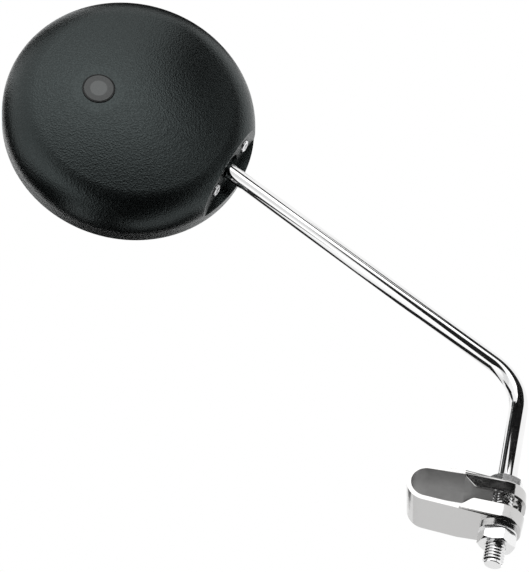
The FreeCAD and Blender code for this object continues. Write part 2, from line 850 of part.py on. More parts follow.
ear = ear_face()
washer = size("washer_thickness")
sub_parts = [
    make_bar_clamp(),
    make_stem(),
    make_nut("upper_nut", ear + washer, size("upper_nut_height"), size("upper_nut_turn")),
    make_washer("upper_washer", ear),
    make_nut("lower_nut", -clamp_stack(), size("lower_nut_height"), size("lower_nut_turn")),
    make_washer("lower_washer", -(ear + washer)),
    make_stem_ball(),
    make_seat_half("seat_front_half", as_size(0), size("seat_front")),
    make_seat_half("seat_rear_half", -size("seat_rear"), as_size(0)),
    make_socket_plate(),
    make_socket_screws(),
    make_head_shell(),
    make_mirror_glass(),
    make_glass_gasket(),
    make_badge(),
]
doc.recompute()

for item in doc.Objects:
    if "Invalid" in item.State or "Error" in item.State:
        raise RuntimeError(f"{item.Name} did not build: {item.State}")
for item in sub_parts:
    if item.Shape.isNull() or not item.Shape.isValid():
        raise RuntimeError(f"{item.Label} has no valid shape")

os.makedirs("parts", exist_ok=True)
for item in sub_parts:
    item.Shape.exportStep(f"parts/{item.Label}.step")
    box = item.Shape.BoundBox
    print(item.Label, len(item.Shape.Solids), "solids", round(item.Shape.Volume, 1), "mm3",
          [round(value, 1) for value in (box.XMin, box.YMin, box.ZMin, box.XMax, box.YMax, box.ZMax)])
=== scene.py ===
import json
import math

import bmesh
import bpy
from mathutils import Matrix, Vector


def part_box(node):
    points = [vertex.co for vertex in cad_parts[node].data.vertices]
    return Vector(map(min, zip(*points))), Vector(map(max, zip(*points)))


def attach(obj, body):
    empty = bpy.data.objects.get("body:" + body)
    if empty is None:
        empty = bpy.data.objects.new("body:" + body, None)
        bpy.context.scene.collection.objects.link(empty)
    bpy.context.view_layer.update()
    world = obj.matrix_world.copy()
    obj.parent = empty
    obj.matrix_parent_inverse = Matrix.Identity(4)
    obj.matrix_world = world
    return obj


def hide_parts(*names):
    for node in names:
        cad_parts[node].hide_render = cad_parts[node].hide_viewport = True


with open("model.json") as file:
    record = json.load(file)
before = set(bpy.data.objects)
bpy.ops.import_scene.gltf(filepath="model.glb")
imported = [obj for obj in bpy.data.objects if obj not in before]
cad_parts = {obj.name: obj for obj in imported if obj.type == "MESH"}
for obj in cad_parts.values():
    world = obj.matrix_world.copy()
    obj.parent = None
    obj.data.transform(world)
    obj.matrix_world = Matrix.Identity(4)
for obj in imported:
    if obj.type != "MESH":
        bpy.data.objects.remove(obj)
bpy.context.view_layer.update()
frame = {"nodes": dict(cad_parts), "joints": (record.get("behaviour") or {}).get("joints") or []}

bl_info = {
    "name": "Clamp-on Mirror",
    "version": (1, 0, 0),
    "blender": (4, 5, 0),
    "location": "View3D > Sidebar > Mirror",
    "description": "Dresses a round motorcycle mirror on its bent stem and strap clamp",
    "category": "Object",
}

MM = 0.001
JOINTS = {joint["name"]: joint for joint in frame["joints"]}

# Sizes and turns that the part's source has too, the turns in degrees
HEAD_YAW = 25.6
HEAD_PITCH = 16.05
HEAD_ROLL = -6.3
HEAD_DEPTH = 30 * MM
DOME_RADIUS = 265 * MM
BALL_REACH = 48 * MM
BALL_HEIGHT = 14 * MM
BALL_RADIUS = 7 * MM
BADGE_ALONG = -16.6 * MM
BADGE_ACROSS = -7.0 * MM
STRAP_HALF_WIDTH = 11.5 * MM
EAR_START = 14 * MM

# The camera as fitted to the photograph, its place measured from the stem's corner
PHOTO_WIDTH = 529
FOCAL_PIXELS = 1000
SENSOR_WIDTH = 36
VIEW_RIGHT = Vector((0.95017, 0.10751, 0.29261)).normalized()
VIEW_BACK = Vector((0.27477, -0.73217, -0.62324))
VIEW_PLACE = Vector((6.60, -361.83, -275.08)) * MM

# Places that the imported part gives
BALL_CENTRE = Vector(JOINTS["head_roll"]["pos_m"])
SOCKET_AXIS = Vector(JOINTS["head_roll"]["axis"])
STEM_OUT = Vector(JOINTS["ball_spin"]["axis"])
BOLT_X = JOINTS["stem_swivel"]["pos_m"][0]
STEM_CORNER = BALL_CENTRE + STEM_OUT * ((BOLT_X - BALL_CENTRE.x) / STEM_OUT.x)
STEM_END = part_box("stem")[0].z
UPPER_NUT_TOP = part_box("upper_nut")[1].z

# The head's own axes: Z out of its back, X towards the ball
HEAD_TURN = (
    Matrix.Rotation(math.radians(HEAD_YAW), 4, "Z")
    @ Matrix.Rotation(math.radians(90 + HEAD_PITCH), 4, "X")
    @ Matrix.Rotation(math.radians(HEAD_ROLL), 4, "Z")
)
HEAD_CENTRE = BALL_CENTRE - HEAD_TURN @ Vector((BALL_REACH, 0, BALL_HEIGHT))
HEAD_FRAME = Matrix.Translation(HEAD_CENTRE) @ HEAD_TURN


def dome_frame(along, across):
    """A frame on the head's dome, Z out along the dome's own normal."""
    rise = math.sqrt(DOME_RADIUS * DOME_RADIUS - along * along - across * across)
    spot = Vector((along, across, HEAD_DEPTH - DOME_RADIUS + rise))
    normal = Vector((along, across, rise))
    turn = normal.to_track_quat("Z", "Y").to_matrix().to_4x4()
    return HEAD_FRAME @ Matrix.Translation(spot) @ turn


BADGE_FRAME = dome_frame(BADGE_ALONG, BADGE_ACROSS)


def view_frame():
    """The camera's frame: X to the right of the picture, Y up, Z towards the viewer."""
    back = (VIEW_BACK - VIEW_RIGHT * VIEW_BACK.dot(VIEW_RIGHT)).normalized()
    turn = Matrix((VIEW_RIGHT, back.cross(VIEW_RIGHT), back)).transposed().to_4x4()
    return Matrix.Translation(STEM_CORNER + VIEW_PLACE) @ turn


VIEW_FRAME = view_frame()


class MirrorSizes(bpy.types.PropertyGroup):
    """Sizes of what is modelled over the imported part"""

    thread_pitch: bpy.props.FloatProperty(
        name="Thread pitch", description="Rise of the stem's thread in one turn",
        default=1.25 * MM, unit="LENGTH")
    thread_depth: bpy.props.FloatProperty(
        name="Thread depth", description="Depth of the stem's thread",
        default=0.66 * MM, unit="LENGTH")
    stem_radius: bpy.props.FloatProperty(
        name="Stem radius", description="Radius of the plated rod",
        default=4 * MM, unit="LENGTH")
    bend_radius: bpy.props.FloatProperty(
        name="Bend radius", description="Radius of the bend at the rod's middle line",
        default=23.5 * MM, unit="LENGTH")
    badge_radius: bpy.props.FloatProperty(
        name="Badge radius", description="Radius of the plain round badge",
        default=7.75 * MM, unit="LENGTH")
    screw_head_radius: bpy.props.FloatProperty(
        name="Screw head radius", description="Radius of the two pan heads beside the stem",
        default=3.2 * MM, unit="LENGTH")
    grain_size: bpy.props.FloatProperty(
        name="Grain size", description="Size of one pebble of the head's moulded grain",
        default=0.9 * MM, unit="LENGTH")
    smooth_ring: bpy.props.FloatProperty(
        name="Smooth ring", description="Radius of the smooth patch round the badge",
        default=11.6 * MM, unit="LENGTH")


class MirrorFinishes(bpy.types.PropertyGroup):
    """Colours and gloss of the mirror's materials"""

    plastic_colour: bpy.props.FloatVectorProperty(
        name="Head plastic", description="Colour of the moulded head",
        default=(0.006, 0.007, 0.007), size=3, subtype="COLOR", min=0, max=1)
    plastic_roughness: bpy.props.FloatProperty(
        name="Plastic roughness", description="Roughness of the moulded head",
        default=0.22, min=0, max=1, subtype="FACTOR")
    plating_colour: bpy.props.FloatVectorProperty(
        name="Plating", description="Colour of the bright plating",
        default=(0.90, 0.90, 0.90), size=3, subtype="COLOR", min=0, max=1)
    clamp_colour: bpy.props.FloatVectorProperty(
        name="Clamp", description="Colour of the plated strap",
        default=(0.62, 0.615, 0.61), size=3, subtype="COLOR", min=0, max=1)
    badge_colour: bpy.props.FloatVectorProperty(
        name="Badge", description="Colour of the plain badge",
        default=(0.072, 0.076, 0.076), size=3, subtype="COLOR", min=0, max=1)


class MirrorStage(bpy.types.PropertyGroup):
    """Floor and light"""

    floor_drop: bpy.props.FloatProperty(
        name="Floor", description="How far the floor lies under the clamp",
        default=0.7, unit="LENGTH")
    ambient: bpy.props.FloatProperty(
        name="Ambient", description="Strength of the even studio light",
        default=0.9, min=0)
    softbox: bpy.props.FloatProperty(
        name="Softbox", description="Brightness of the white card that the gloss reflects from above",
        default=1.8, min=0)
    key_power: bpy.props.FloatProperty(
        name="Key light", description="Power of the large soft lamp",
        default=14.0, min=0, unit="POWER")


# Material helpers

def new_material(name, colour, roughness, metallic=0.0):
    """A material with one shader; returns it with its node tree and shader."""
    material = bpy.data.materials.new(name)
    material.use_nodes = True
    tree = material.node_tree
    shader = tree.nodes["Principled BSDF"]
    shader.inputs["Base Color"].default_value = (*colour, 1)
    shader.inputs["Roughness"].default_value = roughness
    shader.inputs["Metallic"].default_value = metallic
    return material, tree, shader


def object_coordinates(tree):
    return tree.nodes.new("ShaderNodeTexCoord").outputs["Object"]


def noise(tree, coordinates, grain, detail=2.0, roughness=0.5):
    """Cloudy noise with patches of about the given size."""
    node = tree.nodes.new("ShaderNodeTexNoise")
    node.inputs["Scale"].default_value = 1 / grain
    node.inputs["Detail"].default_value = detail
    node.inputs["Roughness"].default_value = roughness
    tree.links.new(coordinates, node.inputs["Vector"])
    return node.outputs["Fac"]


def map_range(tree, value, low, high, to_low, to_high):
    node = tree.nodes.new("ShaderNodeMapRange")
    node.inputs["From Min"].default_value = low
    node.inputs["From Max"].default_value = high
    node.inputs["To Min"].default_value = to_low
    node.inputs["To Max"].default_value = to_high
    tree.links.new(value, node.inputs["Value"])
    return node.outputs["Result"]


def math_node(tree, operation, first, second):
    """A math node whose inputs are sockets or plain numbers."""
    node = tree.nodes.new("ShaderNodeMath")
    node.operation = operation
    for socket, value in zip(node.inputs, (first, second)):
        if isinstance(value, (int, float)):
            socket.default_value = value
        else:
            tree.links.new(value, socket)
    return node.outputs["Value"]


def bump(tree, shader, height, strength, distance):
    node = tree.nodes.new("ShaderNodeBump")
    node.inputs["Strength"].default_value = strength
    node.inputs["Distance"].default_value = distance
    tree.links.new(height, node.inputs["Height"])
    tree.links.new(node.outputs["Normal"], shader.inputs["Normal"])


def blend_colours(tree, factor, first, second):
    node = tree.nodes.new("ShaderNodeMix")
    node.data_type = "RGBA"
    node.inputs["A"].default_value = (*first, 1)
    node.inputs["B"].default_value = (*second, 1)
    tree.links.new(factor, node.inputs["Factor"])
    return node.outputs["Result"]


def distance_from(tree, coordinates, place):
    node = tree.nodes.new("ShaderNodeVectorMath")
    node.operation = "DISTANCE"
    node.inputs[1].default_value = place
    tree.links.new(coordinates, node.inputs[0])
    return node.outputs["Value"]


def shades(colour, amount):
    """A darker and a lighter version of a colour."""
    return [tuple(part * factor for part in colour) for factor in (1 - amount, 1 + amount)]


# Materials of the mirror

def grained_plastic(settings):
    """Black moulded plastic with a fine leather grain, smooth round the badge, with painted shade that
    blackens the grain's creases.
    """
    finish = settings.finishes
    material, tree, shader = new_material("head plastic", finish.plastic_colour, finish.plastic_roughness)
    shader.inputs["Specular IOR Level"].default_value = 0.62
    shader.inputs["Specular Tint"].default_value = (0.85, 1.0, 1.0, 1.0)
    coordinates = object_coordinates(tree)
    cells = tree.nodes.new("ShaderNodeTexVoronoi")
    cells.feature = "SMOOTH_F1"
    cells.inputs["Scale"].default_value = 1 / settings.sizes.grain_size
    cells.inputs["Smoothness"].default_value = 0.3
    tree.links.new(coordinates, cells.inputs["Vector"])
    pebbles = map_range(tree, cells.outputs["Distance"], 0.1, 0.75, 1.0, 0.0)
    creases = noise(tree, coordinates, settings.sizes.grain_size * 0.7, 3.0, 0.6)
    grain = math_node(tree, "ADD", math_node(tree, "MULTIPLY", pebbles, 0.6), creases)
    from_badge = distance_from(tree, coordinates, BADGE_FRAME.translation)
    ring = settings.sizes.smooth_ring
    outside = map_range(tree, from_badge, ring, ring + 0.8 * MM, 0.06, 1.0)
    bump(tree, shader, math_node(tree, "MULTIPLY", grain, outside), 1.0, 0.105 * MM)
    # Painted shade: the base colour runs from black in the grain's creases up to the plastic colour on the
    # pebbles' tops; the smooth patch round the badge stays nearly black too.
    tops_over_crease_shade = map_range(tree, grain, 0.75, 1.1, 0.0, 1.0)
    tops_over_crease_shade = math_node(tree, "MULTIPLY", tops_over_crease_shade, outside)
    tree.links.new(blend_colours(tree, tops_over_crease_shade, (0, 0, 0), finish.plastic_colour), shader.inputs["Base Color"])
    gloss = map_range(tree, grain, 0.6, 1.0, finish.plastic_roughness + 0.14, finish.plastic_roughness - 0.06)
    tree.links.new(gloss, shader.inputs["Roughness"])
    return material


def bright_plating(settings):
    """Polished plating with a trace of waviness."""
    colour = settings.finishes.plating_colour
    material, tree, shader = new_material("bright plating", colour, 0.05, 1.0)
    coordinates = object_coordinates(tree)
    haze = noise(tree, coordinates, 6 * MM, 4.0, 0.6)
    tree.links.new(map_range(tree, haze, 0.3, 0.7, 0.03, 0.08), shader.inputs["Roughness"])
    tree.links.new(blend_colours(tree, haze, *shades(colour, 0.03)), shader.inputs["Base Color"])
    bump(tree, shader, noise(tree, coordinates, 2.5 * MM), 0.05, 0.05 * MM)
    return material


def dull_plating(settings):
    """The nuts' and washers' plating, less polished than the rod's."""
    colour = settings.finishes.plating_colour
    material, tree, shader = new_material("nut plating", colour, 0.2, 1.0)
    coordinates = object_coordinates(tree)
    haze = noise(tree, coordinates, 2 * MM, 4.0, 0.6)
    tree.links.new(map_range(tree, haze, 0.3, 0.7, 0.14, 0.24), shader.inputs["Roughness"])
    tree.links.new(blend_colours(tree, haze, *shades(colour, 0.05)), shader.inputs["Base Color"])
    bump(tree, shader, noise(tree, coordinates, 1.5 * MM), 0.06, 0.05 * MM)
    return material


def strap_inside(tree, coordinates):
    """One on the strap's inner faces, nought on its outer faces and its edges."""
    loop_middle = 7.2 * MM
    leg_end_middle = 7.84 * MM
    loop_edge = 11.3 * MM
    ear_edge = 10.4 * MM
    rough_and_shaded_end = 30 * MM
    blend = 0.1 * MM
    split = tree.nodes.new("ShaderNodeSeparateXYZ")
    tree.links.new(coordinates, split.inputs["Vector"])
    joined = tree.nodes.new("ShaderNodeCombineXYZ")
    tree.links.new(math_node(tree, "MINIMUM", split.outputs["X"], 0.0), joined.inputs["X"])
    tree.links.new(split.outputs["Z"], joined.inputs["Z"])
    from_middle = distance_from(tree, joined.outputs["Vector"], (0, 0, 0))
    legs = map_range(tree, split.outputs["X"], 0, EAR_START, loop_middle, leg_end_middle)
    inner = map_range(tree, math_node(tree, "SUBTRACT", legs, from_middle), -blend, blend, 0, 1)
    edge = map_range(tree, split.outputs["X"], EAR_START - MM, EAR_START + MM, loop_edge, ear_edge)
    from_edge = math_node(tree, "SUBTRACT", edge, math_node(tree, "ABSOLUTE", split.outputs["Y"], 0.0))
    flank = map_range(tree, from_edge, -blend, blend, 0, 1)
    near = map_range(tree, split.outputs["X"], rough_and_shaded_end, rough_and_shaded_end + MM, 1, 0)
    return math_node(tree, "MULTIPLY", math_node(tree, "MULTIPLY", inner, flank), near)


def satin_strap(settings):
    """Rolled sheet, plated bright outside; inside the loop it is rougher, with painted shade darkening its
    colour.
    """
    colour = settings.finishes.clamp_colour
    material, tree, shader = new_material("satin strap", colour, 0.12, 1.0)
    coordinates = object_coordinates(tree)
    mottle = noise(tree, coordinates, 3 * MM, 4.0, 0.6)
    inside = strap_inside(tree, coordinates)
    gloss = map_range(tree, mottle, 0.3, 0.7, 0.08, 0.15)
    gloss = math_node(tree, "ADD", gloss, math_node(tree, "MULTIPLY", inside, 0.4))
    tree.links.new(gloss, shader.inputs["Roughness"])
    # Painted shade: inside the loop the plating colour is darkened to 0.55, standing in for the shade on the
    # loop's inner faces; the added roughness there is the finish.
    inside_painted_shade = tuple(part * 0.55 for part in colour)
    tree.links.new(blend_colours(tree, inside, colour, inside_painted_shade), shader.inputs["Base Color"])
    bump(tree, shader, noise(tree, coordinates, 3 * MM, 2.0), 0.05, 0.05 * MM)
    return material


BADGE_GROOVE_SHARE = 0.92


def badge_plastic(settings):
    """Grey moulded disc, lighter in its middle, with painted shade that blackens it from its groove out to
    its rim, and fine turning rings.
    """
    colour = settings.finishes.badge_colour
    radius = settings.sizes.badge_radius
    material, tree, shader = new_material("badge plastic", colour, 0.42)
    coordinates = object_coordinates(tree)
    speckle = noise(tree, coordinates, 0.5 * MM, 3.0)
    from_middle = distance_from(tree, coordinates, BADGE_FRAME.translation)
    middle_end = radius * 0.51
    outer_start = radius * 0.54
    groove_edge = radius * 0.90
    ring_pitch = 0.45 * MM
    outer = map_range(tree, from_middle, middle_end, outer_start, 0.0, 1.0)
    light = map_range(tree, speckle, 0.3, 0.7, 0.85, 1.15)
    shade = math_node(tree, "MULTIPLY", light, map_range(tree, outer, 0, 1, 1.0, 0.5))
    # Painted shade: from the groove outwards the base colour falls to a tenth, standing in for the shade in
    # the groove and round the rim.
    groove = map_range(tree, from_middle, groove_edge, radius * BADGE_GROOVE_SHARE, 1.0, 0.1)
    shade = math_node(tree, "MULTIPLY", shade, groove)
    tree.links.new(blend_colours(tree, shade, (0, 0, 0), colour), shader.inputs["Base Color"])
    rings = math_node(tree, "SINE", math_node(tree, "MULTIPLY", from_middle, 2 * math.pi / ring_pitch), 0.0)
    bump(tree, shader, math_node(tree, "ADD", rings, speckle), 0.2, 0.03 * MM)
    return material


def mirror_silver():
    """Silvered glass."""
    material, tree, shader = new_material("silvered glass", (0.92, 0.93, 0.94), 0.01, 1.0)
    film = noise(tree, object_coordinates(tree), 12 * MM, 3.0)
    tree.links.new(map_range(tree, film, 0.3, 0.7, 0.006, 0.02), shader.inputs["Roughness"])
    return material


def black_rubber():
    """Soft black rubber."""
    material, tree, shader = new_material("black rubber", (0.012, 0.012, 0.012), 0.6)
    skin = noise(tree, object_coordinates(tree), 0.7 * MM, 4.0)
    tree.links.new(map_range(tree, skin, 0.3, 0.7, 0.5, 0.72), shader.inputs["Roughness"])
    bump(tree, shader, skin, 0.3, 0.05 * MM)
    return material


def seat_nylon():
    """Natural nylon."""
    colour = (0.62, 0.61, 0.56)
    material, tree, shader = new_material("seat nylon", colour, 0.45)
    clouds = noise(tree, object_coordinates(tree), 2 * MM, 3.0)
    tree.links.new(blend_colours(tree, clouds, *shades(colour, 0.06)), shader.inputs["Base Color"])
    bump(tree, shader, clouds, 0.1, 0.05 * MM)
    return material


def zinc_steel():
    """Zinc-plated steel of the screws and the plate behind them."""
    colour = (0.90, 0.90, 0.91)
    material, tree, shader = new_material("zinc steel", colour, 0.35, 1.0)
    bloom = noise(tree, object_coordinates(tree), 1.5 * MM, 4.0)
    tree.links.new(map_range(tree, bloom, 0.3, 0.7, 0.28, 0.42), shader.inputs["Roughness"])
    tree.links.new(blend_colours(tree, bloom, *shades(colour, 0.08)), shader.inputs["Base Color"])
    return material


def dress_node(name, material):
    """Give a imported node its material."""
    node = frame["nodes"][name]
    node.data.materials.clear()
    node.data.materials.append(material)


# Mesh helpers

BUILT_WELD = 1e-7
THREAD_WELD = 1e-8
COPIED_WELD = 1e-6


def finish_piece(name, bm, material, body, sharp_angle=35.0):
    """Turn a bmesh into a piece that rides on a body, at the origin and unturned."""
    mesh = bpy.data.meshes.new(name)
    bm.to_mesh(mesh)
    bm.free()
    mesh.shade_smooth()
    mesh.set_sharp_from_angle(angle=math.radians(sharp_angle))
    mesh.materials.append(material)
    piece = bpy.data.objects.new(name, mesh)
    bpy.context.scene.collection.objects.link(piece)
    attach(piece, body)
    return piece


def add_line(bm, points):
    """A chain of edges through points; returns its vertices and edges."""
    vertices = [bm.verts.new(point) for point in points]
    edges = [bm.edges.new(pair) for pair in zip(vertices, vertices[1:])]
    return vertices + edges


def spin_profile(bm, points, steps):
    """Turn a profile of (radius, height) pairs about Z into a closed form."""
    geometry = add_line(bm, [(radius, 0, height) for radius, height in points])
    bmesh.ops.spin(
        bm, geom=geometry, cent=(0, 0, 0), axis=(0, 0, 1), dvec=(0, 0, 0),
        angle=2 * math.pi, steps=steps, use_merge=True)
    bmesh.ops.remove_doubles(bm, verts=bm.verts, dist=BUILT_WELD)
    bmesh.ops.recalc_face_normals(bm, faces=bm.faces)


# Stem

ROD_SIDES = 64
BEND_STEPS = 32
TURN_STEPS = 36


def extrude_end(bm, face, offset, scale=1.0):
    """Push an end face along an offset, scaled about its middle; returns the new end face."""
    made = bmesh.ops.extrude_face_region(bm, geom=[face])["geom"]
    new_face = next(item for item in made if isinstance(item, bmesh.types.BMFace))
    bmesh.ops.translate(bm, verts=new_face.verts, vec=offset)
    if scale != 1.0:
        middle = new_face.calc_center_median()
        bmesh.ops.scale(
            bm, verts=new_face.verts, vec=(scale, scale, scale), space=Matrix.Translation(-middle))
    if face.is_valid and face is not new_face:
        bmesh.ops.delete(bm, geom=[face], context="FACES_ONLY")
    return new_face


def make_stem_piece(settings, material):
    """The bent rod: a thread core, the plain lower run, the bend and the run to the ball."""
    sizes = settings.sizes
    radius = sizes.stem_radius
    core = radius - sizes.thread_depth
    bend_axis = Vector((0, 0, 1)).cross(-STEM_OUT).normalized()
    bend_angle = Vector((0, 0, 1)).angle(-STEM_OUT)
    run = sizes.bend_radius * math.tan(bend_angle / 2)
    chamfer = 0.25 * MM
    hidden_in_nut = 0.6 * MM
    runout = 0.4 * MM
    thread_top = UPPER_NUT_TOP - hidden_in_nut
    bend_start = STEM_CORNER.z - run
    bm = bmesh.new()
    bmesh.ops.create_circle(bm, cap_ends=True, radius=core - chamfer, segments=ROD_SIDES)
    bmesh.ops.translate(bm, verts=bm.verts, vec=(BOLT_X, 0, STEM_END))
    bm.faces.ensure_lookup_table()
    end = bm.faces[0]
    cap = end.copy()
    end = extrude_end(bm, end, (0, 0, chamfer), core / (core - chamfer))
    end = extrude_end(bm, end, (0, 0, thread_top - STEM_END - chamfer))
    end = extrude_end(bm, end, (0, 0, runout), radius / core)
    end = extrude_end(bm, end, (0, 0, bend_start - thread_top - runout))
    side = bend_axis.cross(Vector((0, 0, 1)))
    centre = Vector((BOLT_X, 0, bend_start)) + side * sizes.bend_radius
    turned = bmesh.ops.spin(
        bm, geom=[end], cent=centre, axis=bend_axis, dvec=(0, 0, 0),
        angle=bend_angle, steps=BEND_STEPS, use_merge=False)["geom_last"]
    end = next(item for item in turned if isinstance(item, bmesh.types.BMFace))
    shoulder = math.sqrt(BALL_RADIUS ** 2 - radius ** 2)
    reach = (BALL_CENTRE - STEM_CORNER).length - run - shoulder
    extrude_end(bm, end, -STEM_OUT * reach)
    if not cap.is_valid:
        raise RuntimeError("the stem lost its end face")
    bmesh.ops.remove_doubles(bm, verts=bm.verts, dist=BUILT_WELD)
    bmesh.ops.recalc_face_normals(bm, faces=bm.faces)
    piece = finish_piece("stem_rod", bm, material, "stem", sharp_angle=40.0)
    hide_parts("stem")


def make_stem_thread(settings, material):
    """The thread on the stem's lower end, one ridge wound up to inside the upper nut."""
    sizes = settings.sizes
    under_rod = 0.02 * MM
    sunk_in_core = 0.03 * MM
    hidden_in_nut = 1.0 * MM
    crest = sizes.stem_radius - under_rod
    root = sizes.stem_radius - sizes.thread_depth - sunk_in_core
    pitch = sizes.thread_pitch
    foot = 0.47 * pitch
    flat = 0.07 * pitch
    first_middle = 0.55 * pitch
    low = STEM_END + first_middle
    turns = math.floor((UPPER_NUT_TOP - hidden_in_nut - low) / pitch)
    bm = bmesh.new()
    outline = [(root, 0, -foot), (crest, 0, -flat), (crest, 0, flat), (root, 0, foot)]
    loop = [bm.verts.new(point) for point in outline]
    first = bm.faces.new(loop)
    cap = first.copy()
    bmesh.ops.spin(
        bm, geom=[first], cent=(0, 0, 0), axis=(0, 0, 1), dvec=(0, 0, pitch / TURN_STEPS),
        angle=2 * math.pi * turns, steps=TURN_STEPS * turns, use_merge=False)
    if not cap.is_valid:
        raise RuntimeError("the thread lost its end face")
    bmesh.ops.remove_doubles(bm, verts=bm.verts, dist=THREAD_WELD)
    bmesh.ops.translate(bm, verts=bm.verts, vec=(0, 0, low))
    lead = sizes.thread_depth
    for vertex in bm.verts:
        above = vertex.co.z - STEM_END
        limit = max(root, crest - lead + above)
        reach = math.hypot(vertex.co.x, vertex.co.y)
        if reach > limit:
            vertex.co.x *= limit / reach
            vertex.co.y *= limit / reach
    bmesh.ops.translate(bm, verts=bm.verts, vec=(BOLT_X, 0, 0))
    bmesh.ops.recalc_face_normals(bm, faces=bm.faces)
    finish_piece("stem_thread", bm, material, "stem", sharp_angle=30.0)


# Badge

BADGE_SIDES = 96


def make_badge_piece(settings, material):
    """A plain round badge: a flat middle, a ring groove and a rounded rim, let into the dome."""
    radius = settings.sizes.badge_radius
    top = 0.4 * MM
    foot = -0.7 * MM
    rounding = 0.35 * MM
    bulge_in = 0.1 * MM
    bulge_down = 0.12 * MM
    groove = radius * BADGE_GROOVE_SHARE
    groove_floor = top - 0.28 * MM
    mouth_half = 0.22 * MM
    floor_half = 0.1 * MM
    profile = [
        (0, foot), (radius, foot), (radius, top - rounding), (radius - bulge_in, top - bulge_down),
        (radius - rounding, top), (groove + mouth_half, top), (groove + floor_half, groove_floor),
        (groove - floor_half, groove_floor), (groove - mouth_half, top), (0, top),
    ]
    bm = bmesh.new()
    spin_profile(bm, profile, steps=BADGE_SIDES)
    bmesh.ops.transform(bm, matrix=BADGE_FRAME, verts=bm.verts)
    piece = finish_piece("badge_plain", bm, material, "head")
    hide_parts("badge_disc")


# Clamp and screws

def copy_of_node(name):
    """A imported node's mesh in the part's own frame, its split corners merged."""
    node = frame["nodes"][name]
    bm = bmesh.new()
    bm.from_mesh(node.data)
    bmesh.ops.transform(bm, matrix=node.matrix_world, verts=bm.verts)
    bmesh.ops.remove_doubles(bm, verts=bm.verts, dist=COPIED_WELD)
    return bm


def make_clamp_piece(material):
    """The strap with its ears' round folds growing out of the strap's corner."""
    bm = copy_of_node("bar_clamp")
    same_place = 0.01 * MM
    fold_inner = 9.5 * MM
    fold_outer = STRAP_HALF_WIDTH - 0.1 * MM
    fold_foot = 7.5 * MM
    half_height = max(abs(vertex.co.z) for vertex in bm.verts)
    section = [vertex for vertex in bm.verts if abs(vertex.co.x - EAR_START) < same_place]
    fold = [
        vertex for vertex in section
        if fold_inner < abs(vertex.co.y) < fold_outer and abs(vertex.co.z) > fold_foot
    ]
    if not fold:
        raise RuntimeError("the start of the folds was not found")
    foot = max(fold, key=lambda vertex: abs(vertex.co.y)).co.copy()
    for vertex in fold:
        share = (abs(vertex.co.z) - abs(foot.z)) / (half_height - abs(foot.z))
        reach = abs(foot.y) + (STRAP_HALF_WIDTH - abs(foot.y)) * share
        vertex.co.y = math.copysign(reach, vertex.co.y)
    bmesh.ops.remove_doubles(bm, verts=bm.verts, dist=COPIED_WELD)
    bmesh.ops.dissolve_degenerate(bm, edges=bm.edges, dist=COPIED_WELD)
    piece = finish_piece("clamp_strap", bm, material, "clamp", sharp_angle=20.0)
    flat_faces = piece.modifiers.new("flat faces", "WEIGHTED_NORMAL")
    flat_faces.mode = "FACE_AREA"
    flat_faces.weight = 100
    flat_faces.keep_sharp = True
    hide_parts("bar_clamp")


def make_screw_piece(settings, material):
    """The two screws with the rims of their pan heads rounded."""
    bm = copy_of_node("socket_screws")
    head_radius = settings.sizes.screw_head_radius
    same_level = 0.02 * MM
    rim_start = 0.9 * head_radius
    rounding = 0.26 * head_radius
    top = max(vertex.co.dot(SOCKET_AXIS) for vertex in bm.verts)
    crown = [vertex for vertex in bm.verts if top - vertex.co.dot(SOCKET_AXIS) < same_level]
    middle = sum((vertex.co for vertex in crown), Vector()) / len(crown)
    farthest = max(crown, key=lambda vertex: (vertex.co - middle).length).co - middle
    offset = farthest.normalized() * (farthest.length - head_radius)
    rim_points = {
        vertex for vertex in crown
        if min((vertex.co - middle - offset).length, (vertex.co - middle + offset).length) > rim_start
    }
    rim = [edge for edge in bm.edges if all(vertex in rim_points for vertex in edge.verts)]
    if not rim:
        raise RuntimeError("the rims of the screw heads were not found")
    bmesh.ops.bevel(
        bm, geom=rim, offset=rounding, offset_type="OFFSET", affect="EDGES",
        segments=4, profile=0.5, material=-1, clamp_overlap=True)
    piece = finish_piece("screw_pair", bm, material, "head")
    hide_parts("socket_screws")


# Stage

def hide_from_camera(card):
    """Let only reflections see a card."""
    card.visible_camera = False
    card.visible_diffuse = False
    card.visible_transmission = False
    card.visible_shadow = False


def add_card(name, corners, material):
    """A flat card; its corners lie right of, above and nearer than the stem's corner in the picture."""
    turn = VIEW_FRAME.to_3x3()
    bm = bmesh.new()
    bm.faces.new([bm.verts.new(STEM_CORNER + turn @ Vector(corner)) for corner in corners])
    mesh = bpy.data.meshes.new(name)
    bm.to_mesh(mesh)
    bm.free()
    mesh.materials.append(material)
    card = bpy.data.objects.new(name, mesh)
    bpy.context.scene.collection.objects.link(card)
    hide_from_camera(card)


def glowing_card(strength):
    """A card that only gives a white light of its own."""
    material, _, shader = new_material("softbox", (0, 0, 0), 1.0)
    shader.inputs["Emission Color"].default_value = (1, 1, 1, 1)
    shader.inputs["Emission Strength"].default_value = strength
    return material


def upright_card(left, right, low, high, near):
    """Corners of a card that faces along the view."""
    return [(left, low, near), (right, low, near), (right, high, near), (left, high, near)]


def level_card(left, right, up, far, near):
    """Corners of a card over or under the mirror as the picture shows it."""
    return [(left, up, far), (right, up, far), (right, up, near), (left, up, near)]


def side_card(right, low, high, far, near):
    """Corners of a card at one side of the mirror as the picture shows it."""
    return [(right, low, far), (right, high, far), (right, high, near), (right, low, near)]


def level_outline(up, places):
    """Corners of a level card at one height, each place given to the right and nearer."""
    return [(right, up, near) for right, near in places]


